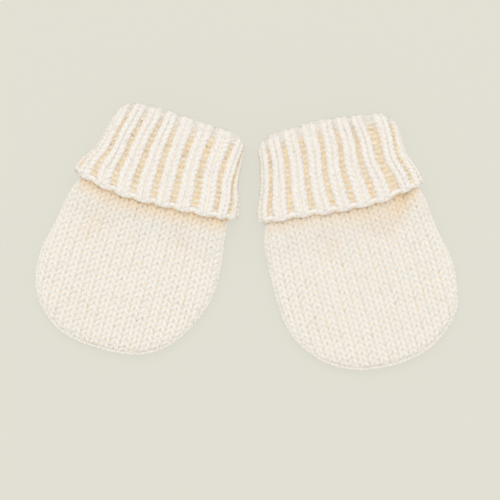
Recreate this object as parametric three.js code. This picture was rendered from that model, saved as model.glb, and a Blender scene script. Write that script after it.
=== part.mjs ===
// A pair of knitted baby mittens, laid flat side by side with their ribbed cuffs turned back.
// Millimetres. +Z is up and z = 0 is the surface they rest on. The fingertips point toward -Y.
// Each mitten is drawn in its own frame: x runs across it, "along" runs from the fold of the cuff
// toward the fingertips (the -y direction), and depth runs from the outside of the cloth inward.

import * as THREE from "three";

// Cloth
const BODY_WALL = 2.6;
const CUFF_WALL = 2.9;
const SEAM_GAP = 0.3;
const HOLLOW = 0.8;

// Turned-back cuff: two layers of ribbing on each side of the hand opening. Stations are the shares
// of the way along each layer that have a row of points. GROOVE_REACH is in rib widths.
const CUFF_DEPTH = 2 * CUFF_WALL + SEAM_GAP;
const CUFF_HALF_HEIGHT = CUFF_DEPTH + HOLLOW / 2;
const CUFF_EDGE = 9;
const CUFF_JOIN_ALONG = 27;
const HEM_ROUND = 0.9;
const RIBS_AROUND = 18;
const RIB_RELIEF = 1.2;
const GROOVE_REACH = 0.3;
const HEM_RIBBED = 0.7;
const RIB_FADE = { from: -0.85, to: -0.2 };
const RIB_STEPS_ABOVE = [0, 0.17, 0.5, 0.83];
const RIB_STEPS_BELOW = [0, 0.5];
const FOLD_STEPS = 5;
const RIBBED_STATIONS = [1, 0.8, 0.6, 0.4, 0.2];
const LAYER_STATIONS = [0, 0.35, 0.65, 0.85, 1];
const INNERMOST_STATIONS = [0.5, 1];

// Body: a front and a back panel, seamed all round at mid-height
const BODY_HALF_HEIGHT = BODY_WALL + HOLLOW / 2;
const BODY_EDGE = 5;
const UNDER_CUFF_HALF_HEIGHT = CUFF_HALF_HEIGHT - CUFF_WALL - SEAM_GAP;
const UNDER_CUFF_EDGE = CUFF_EDGE - CUFF_WALL - SEAM_GAP;
const DROP = { from: 36, to: 50 };
const FULLNESS = 0.6;
const FULLNESS_REACH = 26;
const PANEL_CELLS = { across: 20, along: 16 };
const TIP_CORNERS = [0.34, 0.66];
const EDGE_CROWDING = { across: 0.72, along: 0.6 };
const OUTLINE_STEPS = 240;

const WOOL = { color: 0xf7efe2, roughness: 0.95, metalness: 0 };

// foldAt is the place of x = 0, along = 0, and lean turns the mitten clockwise, in degrees.
// ribs gives how far round the cuff its grooves lie, at the hem, halfway up and at the fold.
// cuffSides gives the cuff's half widths, cuffEnds its fold and hem from the left edge (-1) to the
// right edge (1), outline the body's half widths and tip the furthest point of the fingertips.
// A trough is a soft crease in the front panel, drawn between two (x, along) points.
const MITTENS = [
  {
    name: "left",
    foldAt: { x: -26.795, y: 46.24 },
    lean: 17,
    ribs: [
      { rib: 0, hem: 0.022, middle: 0.012, fold: 0.013 },
      { rib: 1, hem: 0.081, middle: 0.067, fold: 0.068 },
      { rib: 2, hem: 0.142, middle: 0.118, fold: 0.122 },
      { rib: 3, hem: 0.197, middle: 0.176, fold: 0.179 },
      { rib: 4, hem: 0.251, middle: 0.233, fold: 0.232 },
      { rib: 5, hem: 0.301, middle: 0.292, fold: 0.295 },
      { rib: 6, hem: 0.357, middle: 0.352, fold: 0.359 },
      { rib: 7, hem: 0.415, middle: 0.417, fold: 0.43 },
      { rib: 8, hem: 0.45, middle: 0.464, fold: 0.485 },
      { rib: 18, hem: 1.022, middle: 1.012, fold: 1.013 },
    ],
    cuffSides: [
      { along: -6, left: 27.6, right: 27.2 },
      { along: 0, left: 28.6, right: 27.9 },
      { along: 8, left: 30.4, right: 28.4 },
      { along: 18, left: 32.7, right: 30.1 },
      { along: 23, left: 35.5, right: 32.2 },
      { along: 28, left: 38.2, right: 33.6 },
      { along: 36, left: 39.4, right: 34.0 },
    ],
    cuffEnds: [
      { across: -1, fold: 0.0, hem: 30.9 },
      { across: -0.9, fold: -3.0, hem: 32.4 },
      { across: -0.4, fold: -4.8, hem: 35.2 },
      { across: 0, fold: -4.6, hem: 34.6 },
      { across: 0.5, fold: -4.1, hem: 33.3 },
      { across: 0.9, fold: -3.1, hem: 31.6 },
      { across: 1, fold: -0.2, hem: 30.4 },
    ],
    outline: [
      { along: 27.15, left: 34.7, right: 29.9 },
      { along: 33, left: 35.3, right: 29.9 },
      { along: 41, left: 38.1, right: 31.0 },
      { along: 53, left: 39.9, right: 33.0 },
      { along: 66, left: 42.2, right: 32.7 },
      { along: 77, left: 41.5, right: 29.2 },
      { along: 86, left: 38.0, right: 24.4 },
      { along: 93, left: 31.2, right: 17.8 },
      { along: 97.6, left: 23.4, right: 9.0 },
    ],
    tip: { x: -8.5, along: 99.6 },
    troughs: [
      { from: [-20, 38], to: [-26, 62], depth: 0.5, width: 5 },
      { from: [12, 37], to: [14, 55], depth: 0.4, width: 4 },
    ],
  },
  {
    name: "right",
    foldAt: { x: 34.105, y: 45.4 },
    lean: -15,
    ribs: [
      { rib: 0, hem: 0.0, middle: 0.005, fold: 0.003 },
      { rib: 1, hem: 0.058, middle: 0.059, fold: 0.057 },
      { rib: 2, hem: 0.118, middle: 0.114, fold: 0.11 },
      { rib: 3, hem: 0.175, middle: 0.171, fold: 0.169 },
      { rib: 4, hem: 0.229, middle: 0.226, fold: 0.233 },
      { rib: 5, hem: 0.28, middle: 0.28, fold: 0.286 },
      { rib: 6, hem: 0.337, middle: 0.337, fold: 0.336 },
      { rib: 6.83, hem: 0.384, middle: 0.381, fold: 0.377 },
      { rib: 7.17, hem: 0.411, middle: 0.407, fold: 0.41 },
      { rib: 8, hem: 0.445, middle: 0.449, fold: 0.46 },
      { rib: 18, hem: 1.0, middle: 1.005, fold: 1.003 },
    ],
    cuffSides: [
      { along: -6, left: 30.2, right: 26.6 },
      { along: 0, left: 31.2, right: 27.6 },
      { along: 8, left: 32.2, right: 29.0 },
      { along: 18, left: 35.0, right: 29.4 },
      { along: 23, left: 37.1, right: 31.2 },
      { along: 28, left: 38.8, right: 32.9 },
      { along: 36, left: 39.4, right: 33.9 },
    ],
    cuffEnds: [
      { across: -1, fold: -0.4, hem: 30.2 },
      { across: -0.9, fold: -3.2, hem: 31.3 },
      { across: -0.45, fold: -4.5, hem: 33.2 },
      { across: -0.1, fold: -4.6, hem: 34.9 },
      { across: 0.4, fold: -2.6, hem: 35.6 },
      { across: 0.65, fold: -1.6, hem: 34.2 },
      { across: 0.9, fold: -0.4, hem: 33.3 },
      { across: 1, fold: 2.5, hem: 31.6 },
    ],
    outline: [
      { along: 27.15, left: 35.2, right: 29.3 },
      { along: 33, left: 36.3, right: 30.3 },
      { along: 41, left: 38.9, right: 32.4 },
      { along: 53, left: 39.6, right: 33.8 },
      { along: 66, left: 39.6, right: 36.3 },
      { along: 78, left: 38.0, right: 35.6 },
      { along: 87, left: 33.6, right: 33.2 },
      { along: 95, left: 26.2, right: 26.0 },
      { along: 100.8, left: 15.6, right: 16.4 },
    ],
    tip: { x: 1, along: 103.3 },
    troughs: [
      { from: [22, 36], to: [25, 60], depth: 0.7, width: 4.5 },
      { from: [-10, 38], to: [-13, 58], depth: 0.4, width: 5 },
    ],
  },
];

// Smooth value of one column of a table between its rows
function lookUp(rows, key, column, at) {
  const last = rows.length - 1;
  let i = 0;
  while (i < last - 1 && at > rows[i + 1][key]) i += 1;
  const slope = (k) => {
    const before = rows[Math.max(k - 1, 0)];
    const after = rows[Math.min(k + 1, last)];
    return (after[column] - before[column]) / (after[key] - before[key]);
  };
  const span = rows[i + 1][key] - rows[i][key];
  const t = THREE.MathUtils.clamp((at - rows[i][key]) / span, 0, 1);
  const fromStart = 2 * t ** 3 - 3 * t ** 2 + 1;
  const fromEnd = 1 - fromStart;
  const bend = t ** 3 - 2 * t ** 2 + t;
  const bendEnd = t ** 3 - t ** 2;
  return (
    fromStart * rows[i][column] +
    fromEnd * rows[i + 1][column] +
    span * (bend * slope(i) + bendEnd * slope(i + 1))
  );
}

// Height of a quarter ellipse, from 0 at the cloth's edge to 1 where it lies flat
function roundedEdge(distance, reach) {
  const short = 1 - Math.min(distance / reach, 1);
  return Math.sqrt(1 - short * short);
}

// One closed solid from its corners and triangles
function solid(name, corners, triangles) {
  const geometry = new THREE.BufferGeometry();
  geometry.setAttribute("position", new THREE.Float32BufferAttribute(corners.flat(), 3));
  geometry.setIndex(triangles.flat());
  geometry.computeVertexNormals();
  const mesh = new THREE.Mesh(geometry, new THREE.MeshStandardMaterial(WOOL));
  mesh.name = name;
  return mesh;
}

function quad(a, b, c, d) {
  return [a, b, c, a, c, d];
}

// Point of the flattened cuff tube. turn goes once round from the left edge over the top, and
// depth goes inward from the outside. The result holds x, z and how far up the side it lies.
function cuffSection(mitten, turn, along, depth) {
  const left = lookUp(mitten.cuffSides, "along", "left", along) - CUFF_EDGE;
  const right = lookUp(mitten.cuffSides, "along", "right", along) - CUFF_EDGE;
  const quarter = (Math.PI / 2) * Math.hypot(CUFF_EDGE, CUFF_HALF_HEIGHT) * Math.SQRT1_2;
  const half = 2 * quarter + left + right;
  const below = turn >= 0.5;
  const walked = half * (below ? 2 - 2 * turn : 2 * turn);
  const side = below ? -1 : 1;
  const wide = CUFF_EDGE - depth;
  const high = CUFF_HALF_HEIGHT - depth;
  if (walked < quarter) {
    const angle = ((Math.PI / 2) * walked) / quarter;
    const up = side * Math.sin(angle);
    return { x: -left - wide * Math.cos(angle), z: CUFF_HALF_HEIGHT + high * up, up };
  }
  if (walked > half - quarter) {
    const angle = ((Math.PI / 2) * (half - walked)) / quarter;
    const up = side * Math.sin(angle);
    return { x: right + wide * Math.cos(angle), z: CUFF_HALF_HEIGHT + high * up, up };
  }
  return { x: walked - quarter - left, z: CUFF_HALF_HEIGHT + high * side, up: side };
}

// Turn of a place in the ribbing. rib counts grooves from the left edge, and height goes from 0 at
// the hem to 1 at the fold.
function ribTurn(mitten, rib, height) {
  const turnAt = (column) => lookUp(mitten.ribs, "rib", column, rib);
  const rows = [
    { height: 0, turn: turnAt("hem") },
    { height: 0.5, turn: turnAt("middle") },
    { height: 1, turn: turnAt("fold") },
  ];
  return lookUp(rows, "height", "turn", height) % 1;
}

// Places of the points round the cuff, in ribs, close together over each rib that shows
function ribPlaces(mitten) {
  const places = [];
  for (let rib = 0; rib < RIBS_AROUND; rib += 1) {
    const shows = ribTurn(mitten, rib, 0.5) < 0.5 || rib === RIBS_AROUND - 1;
    const steps = shows ? RIB_STEPS_ABOVE : RIB_STEPS_BELOW;
    for (const step of steps) places.push(rib + step);
  }
  return places;
}

// How far a rib groove is sunk: all of RIB_RELIEF in the groove, nothing on the crown
function ribSink(rib, up) {
  const fromGroove = Math.abs(rib - Math.round(rib));
  const groove = 1 - THREE.MathUtils.smoothstep(fromGroove, 0, GROOVE_REACH);
  return RIB_RELIEF * groove * THREE.MathUtils.smoothstep(up, RIB_FADE.from, RIB_FADE.to);
}

// The cuff's cut edge to edge: hem, outer layer, fold, inner layer and back inside the fold.
// Each place has its distance along, for a given fold and hem, its depth, how far it is ribbed and
// the height at which its ribs are looked up.
function cuffProfile() {
  const radius = CUFF_DEPTH / 2;
  const inside = CUFF_WALL + SEAM_GAP / 2;
  const joinEnd = CUFF_JOIN_ALONG - SEAM_GAP / 2;
  const between = (from, to, share) => from + (to - from) * share;
  const places = [];
  for (const share of RIBBED_STATIONS) {
    places.push({
      along: (fold, hem) => between(fold + radius, hem - HEM_ROUND, share),
      depth: 0,
      ribbed: 1,
      height: 1 - share,
    });
  }
  for (let step = 0; step <= FOLD_STEPS; step += 1) {
    const angle = (Math.PI * step) / FOLD_STEPS;
    places.push({
      along: (fold) => fold + radius * (1 - Math.sin(angle)),
      depth: radius * (1 - Math.cos(angle)),
      ribbed: Math.max(Math.cos(angle / 2), 0),
      height: 1,
    });
  }
  for (const share of INNERMOST_STATIONS) {
    places.push({
      along: (fold) => between(fold + radius, joinEnd, share),
      depth: CUFF_DEPTH,
      ribbed: 0,
      height: 1,
    });
  }
  for (const share of LAYER_STATIONS.toReversed()) {
    places.push({
      along: (fold) => between(fold + radius, joinEnd, share),
      depth: CUFF_WALL + SEAM_GAP,
      ribbed: 0,
      height: 1,
    });
  }
  places.push({ along: (fold) => fold + CUFF_WALL, depth: inside, ribbed: 0, height: 1 });
  for (const share of LAYER_STATIONS) {
    places.push({
      along: (fold) => between(fold + radius, joinEnd, share),
      depth: CUFF_WALL,
      ribbed: 0,
      height: 1,
    });
  }
  const rounded = CUFF_WALL - HEM_ROUND;
  places.push({ along: (fold, hem) => hem - HEM_ROUND, depth: CUFF_WALL, ribbed: 0, height: 1 });
  places.push({ along: (fold, hem) => hem, depth: rounded, ribbed: 0, height: 0.5 });
  places.push({ along: (fold, hem) => hem, depth: HEM_ROUND, ribbed: HEM_RIBBED, height: 0 });
  return places;
}

// The ribbed cuff: one ring of cloth, folded back on itself at the hand opening
function cuff(mitten) {
  const ribs = ribPlaces(mitten);
  const profile = cuffProfile();
  const corners = [];
  for (const place of profile) {
    for (const rib of ribs) {
      const turn = ribTurn(mitten, rib, place.height);
      const level = cuffSection(mitten, turn, CUFF_JOIN_ALONG, 0);
      const reach = level.x < 0 ? "left" : "right";
      const half = lookUp(mitten.cuffSides, "along", reach, CUFF_JOIN_ALONG);
      const across = level.x / half;
      const fold = lookUp(mitten.cuffEnds, "across", "fold", across);
      const hem = lookUp(mitten.cuffEnds, "across", "hem", across);
      const along = place.along(fold, hem);
      const sink = place.ribbed * ribSink(rib, level.up);
      const point = cuffSection(mitten, turn, along, place.depth + sink);
      corners.push([point.x, -along, point.z]);
    }
  }
  const triangles = [];
  const rows = profile.length;
  const columns = ribs.length;
  for (let row = 0; row < rows; row += 1) {
    for (let column = 0; column < columns; column += 1) {
      const here = row * columns + column;
      const beside = row * columns + ((column + 1) % columns);
      const next = ((row + 1) % rows) * columns + column;
      const nextBeside = ((row + 1) % rows) * columns + ((column + 1) % columns);
      triangles.push(quad(here, beside, nextBeside, next));
    }
  }
  return solid(`${mitten.name}_cuff`, corners, triangles);
}

// The body's edge as seen from above, from the left end of the seam round the fingertips
function bodyOutline(mitten) {
  const down = mitten.outline.map((row) => new THREE.Vector3(-row.left, row.along, 0));
  const up = mitten.outline.map((row) => new THREE.Vector3(row.right, row.along, 0)).reverse();
  const tip = new THREE.Vector3(mitten.tip.x, mitten.tip.along, 0);
  return new THREE.CatmullRomCurve3([...down, tip, ...up], false, "centripetal");
}

// The nearest place on the outline to a point, and how far inside it the point lies
function nearestEdge(samples, { x, along, onEdge }) {
  let sample = samples[0];
  let least = Infinity;
  for (const other of samples) {
    const apart = Math.hypot(x - other.x, along - other.along);
    if (apart >= least) continue;
    least = apart;
    sample = other;
  }
  const inward = (x - sample.x) * sample.inX + (along - sample.along) * sample.inAlong;
  return { sample, distance: onEdge ? 0 : Math.max(inward, 0) };
}

function outlineSamples(outline) {
  const samples = [];
  for (let step = 0; step <= OUTLINE_STEPS; step += 1) {
    const point = outline.getPointAt(step / OUTLINE_STEPS);
    const tangent = outline.getTangentAt(step / OUTLINE_STEPS);
    samples.push({ x: point.x, along: point.y, inX: tangent.y, inAlong: -tangent.x });
  }
  return samples;
}

// Rows of (x, along) points that fill the outline, crowded toward its rounded edge
function panelGrid(outline) {
  const { across, along } = PANEL_CELLS;
  const [leftCorner, rightCorner] = TIP_CORNERS;
  const start = outline.getPointAt(0);
  const end = outline.getPointAt(1);
  const cornerA = outline.getPointAt(leftCorner);
  const cornerB = outline.getPointAt(rightCorner);
  const rows = [];
  for (let j = 0; j <= along; j += 1) {
    const s = j / along;
    const down = s + (EDGE_CROWDING.along * Math.sin(Math.PI * s)) / Math.PI;
    const leftSide = outline.getPointAt(leftCorner * down);
    const rightSide = outline.getPointAt(1 - (1 - rightCorner) * down);
    const row = [];
    for (let i = 0; i <= across; i += 1) {
      const t = i / across;
      const over = t - (EDGE_CROWDING.across * Math.sin(2 * Math.PI * t)) / (2 * Math.PI);
      const open = start.clone().lerp(end, over);
      const tip = outline.getPointAt(leftCorner + (rightCorner - leftCorner) * over);
      const sides = leftSide.clone().lerp(rightSide, over);
      const ends = open.clone().lerp(tip, down);
      const corners = start.clone().lerp(end, over);
      corners.lerp(cornerA.clone().lerp(cornerB, over), down);
      const onEdge = i === 0 || i === across || j === along;
      row.push({ x: sides.x + ends.x - corners.x, along: sides.y + ends.y - corners.y, onEdge });
    }
    rows.push(row);
  }
  return rows;
}

// Depth of the soft creases at a point: deepest half-way along each, fading out at its ends
function troughDepth(mitten, x, along) {
  let depth = 0;
  for (const trough of mitten.troughs) {
    const [x0, along0] = trough.from;
    const [x1, along1] = trough.to;
    const share = (along - along0) / (along1 - along0);
    if (share <= 0 || share >= 1) continue;
    const aside = (x - (x0 + (x1 - x0) * share)) / trough.width;
    depth += trough.depth * Math.sin(Math.PI * share) ** 2 * Math.exp(-aside * aside);
  }
  return depth;
}

// A body panel: the upper one has its outside on top, the lower one rests on the surface
function panel(mitten, name, side) {
  const outline = bodyOutline(mitten);
  const samples = outlineSamples(outline);
  const grid = panelGrid(outline);
  const seam = SEAM_GAP / 2;
  const outside = [];
  const inside = [];
  for (const row of grid) {
    for (const place of row) {
      const { x, along } = place;
      const dropped = THREE.MathUtils.smoothstep(along, DROP.from, DROP.to);
      const middle = THREE.MathUtils.lerp(CUFF_HALF_HEIGHT, BODY_HALF_HEIGHT, dropped);
      const high = THREE.MathUtils.lerp(UNDER_CUFF_HALF_HEIGHT, BODY_HALF_HEIGHT, dropped);
      const reach = THREE.MathUtils.lerp(UNDER_CUFF_EDGE, BODY_EDGE, dropped);
      const { distance, sample } = nearestEdge(samples, place);
      const full = side > 0 ? FULLNESS * dropped * roundedEdge(distance, FULLNESS_REACH) : 0;
      const crease = side > 0 ? troughDepth(mitten, x, along) * roundedEdge(distance, reach) : 0;
      const lift = (high - seam) * roundedEdge(distance, reach) + full - crease;
      outside.push([x, -along, middle + side * (seam + lift)]);

      const shift = BODY_WALL * Math.max(0, 1 - distance / reach);
      const innerDistance = distance + shift - BODY_WALL;
      const rise = roundedEdge(innerDistance, reach - BODY_WALL);
      const innerLift = (high - BODY_WALL - seam) * rise + full;
      inside.push([
        x + sample.inX * shift,
        -(along + sample.inAlong * shift),
        middle + side * (seam + innerLift),
      ]);
    }
  }
  const triangles = panelTriangles(outside.length);
  const turned = side > 0 ? triangles : triangles.map((corner) => [...corner].reverse());
  return solid(`${mitten.name}_${name}`, [...outside, ...inside], turned);
}

// Faces of the outside, of the inside behind it, and of the edge that joins them all round
function panelTriangles(insideStart) {
  const { across, along } = PANEL_CELLS;
  const width = across + 1;
  const triangles = [];
  for (let j = 0; j < along; j += 1) {
    for (let i = 0; i < across; i += 1) {
      const here = j * width + i;
      triangles.push(quad(here, here + width, here + width + 1, here + 1));
      const behind = here + insideStart;
      triangles.push(quad(behind, behind + 1, behind + width + 1, behind + width));
    }
  }
  const rim = [];
  for (let i = 0; i < across; i += 1) rim.push(i);
  for (let j = 0; j < along; j += 1) rim.push(j * width + across);
  for (let i = across; i > 0; i -= 1) rim.push(along * width + i);
  for (let j = along; j > 0; j -= 1) rim.push(j * width);
  for (let k = 0; k < rim.length; k += 1) {
    const a = rim[k];
    const b = rim[(k + 1) % rim.length];
    triangles.push(quad(a, b, b + insideStart, a + insideStart));
  }
  return triangles;
}

function mittenGroup(mitten) {
  const group = new THREE.Group();
  group.add(cuff(mitten));
  group.add(panel(mitten, "front_panel", 1));
  group.add(panel(mitten, "back_panel", -1));
  group.rotation.z = -THREE.MathUtils.degToRad(mitten.lean);
  group.position.set(mitten.foldAt.x, mitten.foldAt.y, 0);
  return group;
}

const pair = new THREE.Group();
for (const mitten of MITTENS) pair.add(mittenGroup(mitten));

export default pair;
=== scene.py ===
"""A pair of knitted baby mittens with turned-back ribbed cuffs, laid flat and seen from above.

Each CAD node is replaced by a thin backing of cloth in the same form, and the knitting lies on it
as real rows of yarn: stocking stitch on the hand, single rib on the cuff.
Sizes are in millimetres and become metres where the meshes are made.
"""

import math

import bpy
import numpy as np
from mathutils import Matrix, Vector


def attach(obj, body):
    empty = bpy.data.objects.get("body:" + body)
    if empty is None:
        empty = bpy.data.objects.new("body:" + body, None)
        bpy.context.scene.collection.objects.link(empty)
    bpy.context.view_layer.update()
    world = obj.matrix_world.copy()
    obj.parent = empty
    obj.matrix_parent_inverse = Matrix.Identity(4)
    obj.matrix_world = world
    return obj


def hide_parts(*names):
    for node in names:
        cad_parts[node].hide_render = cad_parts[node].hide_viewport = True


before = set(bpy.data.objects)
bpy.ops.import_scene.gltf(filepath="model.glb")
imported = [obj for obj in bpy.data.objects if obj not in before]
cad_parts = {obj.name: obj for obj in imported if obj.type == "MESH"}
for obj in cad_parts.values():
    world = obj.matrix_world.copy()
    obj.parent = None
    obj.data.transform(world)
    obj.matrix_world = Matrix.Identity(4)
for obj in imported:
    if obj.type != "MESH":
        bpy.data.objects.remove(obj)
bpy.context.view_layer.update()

MM = 0.001
SEED = 11
TINY = 1e-9

# Floor and light, in metres and watts. lit is how bright the light makes a flat white floor.
FLOOR = {"colour": (0.757, 0.742, 0.658), "glow": 0.8, "half_side": 3.0, "lit": 1.08}
KEY_LIGHT = {"place": (0.0, 1.5, 3.0), "size": 2.4, "power": 29.0, "colour": (1.0, 0.985, 0.96)}
ROOM_LIGHT = {"colour": (1.0, 0.99, 0.98), "strength": 0.93}

# Camera and photograph. Its scale holds at one height above the floor.
PHOTO_PIXELS = 500
MM_PER_PIXEL = 0.42
PHOTO_CENTRE = (1.345, -5.42)
CAMERA_HEIGHT = 1100.0
SENSOR = 36.0
SCALE_HEIGHT = 6.0

# Colours of the wool: on top, the painted warm shade deep in the cloth, the painted shade in its
# folds, under the hem and in creases, and on its loose fibres
PALE = {"knit": (0.845, 0.807, 0.74), "ribbing": (0.868, 0.829, 0.77)}
DEEP_SHADE = (0.94, 0.735, 0.43)
SHADE = (0.84, 0.67, 0.46)
LOOSE = {"pale": (0.89, 0.86, 0.81), "warm": (0.83, 0.79, 0.73)}

# Finish of the wool. Its colour warms into the painted warm shade between two depths, which the
# patches of its tone shift.
# Noise scales are per metre, a turn of the plies is in millimetres and heights are in metres.
PAINTED_WARMTH_DEPTHS = (1.55, 3.45)
TONE = {"scale": 1100.0, "detail": 4.0, "patches": 2.2}
PLIES = {"count": 3, "turn": 5.0, "strength": 0.5, "height": 0.0001}
NAP = {"scale": 3000.0, "detail": 3.0, "strength": 0.4, "height": 0.0002}
MATT = {"Roughness": 0.9, "Specular IOR Level": 0.1}
SOFT = {
    "Subsurface Weight": 0.15,
    "Subsurface Radius": (1.0, 0.95, 0.9),
    "Subsurface Scale": 0.0007,
    "Sheen Weight": 0.25,
    "Sheen Roughness": 0.6,
    "Sheen Tint": (1.0, 0.97, 0.93, 1),
}

# Shade painted on the hand: over a stretch past the hem, and in creases by their depth
HEM_SHADE_STRETCH = (-1.0, 9.0)
TROUGH_SHADE = 0.45

# Loose fibres on the wool
FIBRES = {"front": 3400, "back": 1000, "cuff": 5000}
FIBRE_LENGTH = (1.0, 3.0)
FIBRE_RADIUS = 0.045
FIBRE_LIFT = 0.45
FIBRE_STRAY = 0.5
FIBRES_ABOVE = 0.2

# Cloth, as in the solids. An edge is the width of a rounded side. The height drops from the
# cuff's to the hand's over a stretch along the hand, whose front is a little full.
BODY_WALL = 2.6
CUFF_WALL = 2.9
SEAM_GAP = 0.3
HOLLOW = 0.8
CUFF_DEPTH = 2 * CUFF_WALL + SEAM_GAP
CUFF_HALF_HEIGHT = CUFF_DEPTH + HOLLOW / 2
CUFF_EDGE = 9.0
CUFF_JOIN_ALONG = 27.0
RIBS_AROUND = 18
RIB_FADE = (-0.85, -0.2)
BODY_HALF_HEIGHT = BODY_WALL + HOLLOW / 2
BODY_EDGE = 5.0
UNDER_CUFF_HALF_HEIGHT = CUFF_HALF_HEIGHT - CUFF_WALL - SEAM_GAP
UNDER_CUFF_EDGE = CUFF_EDGE - CUFF_WALL - SEAM_GAP
DROP = (36.0, 50.0)
FULLNESS = 0.6
FULLNESS_REACH = 26.0
OUTLINE_STEPS = 480
CURVE_STEPS = 40

# Yarn: how much it thins in its bends and varies, and how far in its inner side is looked for
THIN_BENDS = 0.22
UNEVEN_YARN = 0.03
INNER_STEP = 0.2

# Stocking stitch on the hand. Loops vary along, across and in depth.
YARN = 1.08
WALE_AT_CUFF = 3.95
WALE_AT_HAND = 4.25
WALE_WIDENS = (30.0, 66.0)
WALES = 23
ROW = 2.65
FIRST_ROW = 28.5
LOOP_HALF_HEIGHT = 2.7
LOOP_SWING = 1.1
LOOP_DEPTH = 0.62
SHINGLE = 0.32
UNEVEN_LOOP = (0.12, 0.1, 0.07)
EDGE_TUCK = {"reach": 1.0, "depth": 1.2}
TIP_GAP = {"reach": (1.6, 3.4), "facing": (0.6, 0.85), "depth": 1.0}
SHORTEST_RUN = 4
BODY_DETAIL = {"front": {"points": 16, "sides": 8}, "back": {"points": 10, "sides": 6}}

# Backing of a hand panel: its look puts it in full painted warm shade where it shows between the
# stitches. Its corners are shares of the way round the edge.
BODY_BACKING = {"depth": 1.0, "look": 2.1}
BODY_GRID = {"down": 48, "across": 56, "corners": (0.34, 0.66), "to_tip": 0.6, "to_sides": 0.72}

# Seam cord round the hand
SEAM_CORD = {"from_seam": 1.15, "depth": 0.95, "swing": 0.3, "turn": 4.2, "radius": 0.8}
SEAM_CORD_SIDES = 7
# How much less painted warm shade the seam cord takes
SEAM_CORD_PALER = 0.4

# Single rib on the cuff. Heights are in rows and places across in ribs. Loops vary in height,
# in depth and across.
CUFF_ROWS = 16
FOLD_ROWS = 4
INNER_ROWS = 3
RIB_YARN = 1.16
PURL_YARN = 0.85
KNIT_SHARE = 0.78
GROOVE_EDGE = (0.07, 0.24)
DOUBLE_WIDER = 0.09
RIB_SINK = 0.75
RIB_LOOP = 1.0
RIB_SWING = {"knit": 0.152, "purl": 0.1}
RIB_LOOP_DEPTH = 0.48
RIB_SHINGLE = 0.42
UNEVEN_RIB = (0.08, 0.14, 0.012)
OVER_FOLD = {"from": 13.5, "to": 17.5, "loops": 0.2, "grooves": 0.2}
HEM_SQUASH = 0.8

# Points in a loop on the upper and lower side of the cuff, and sides of its yarn
CUFF_DETAIL = {"above": 14, "below": 8, "sides": 7}

# How much deeper than it lies the yarn of the cuff looks, which sets its painted warm shade
WARM_SHADE = {"rib": -0.25, "groove": -0.2, "side": 0.45}
# Painted warm shade on the sides of the cuff fades out towards its top and bottom
SIDE_FADE = (0.35, 0.85)

# Cast-on edge: two strands, the second a little lower and deeper, with more painted warm shade and
# full painted shade
CAST_ON = {"row": 0.55, "scallop": 0.17, "depth": 1.95, "fuller": 0.2, "radius": 0.95, "beads": 0.1}
CAST_ON_SWING = {"row": 0.08, "depth": 0.2}
CAST_ON_SECOND = {"lower": 0.05, "deeper": 0.7, "warmer": 1.0, "shade": 1.0}
CAST_ON_POINTS = 18
CAST_ON_SIDES = 8
# How much less painted warm shade the cast-on edge takes
CAST_ON_PALER = 1.2

# Backing of the cuff, with painted shade in its grooves, and how it and the whole flat cuff are
# divided and sized
CUFF_BACKING = {"rib": 1.0, "groove": 2.6, "fold": 0.9, "shade": 0.5, "clear": 0.05}
CUFF_GRID = {"columns": 10, "first_row": 0.35, "above": 14, "fold": 9, "inside": 10, "overlap": 3}

# Share of a rectangle that the rounded end of a hand panel fills, and the steps to measure it
TIP_FILL = 0.7
AREA_STEPS = 60

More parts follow.
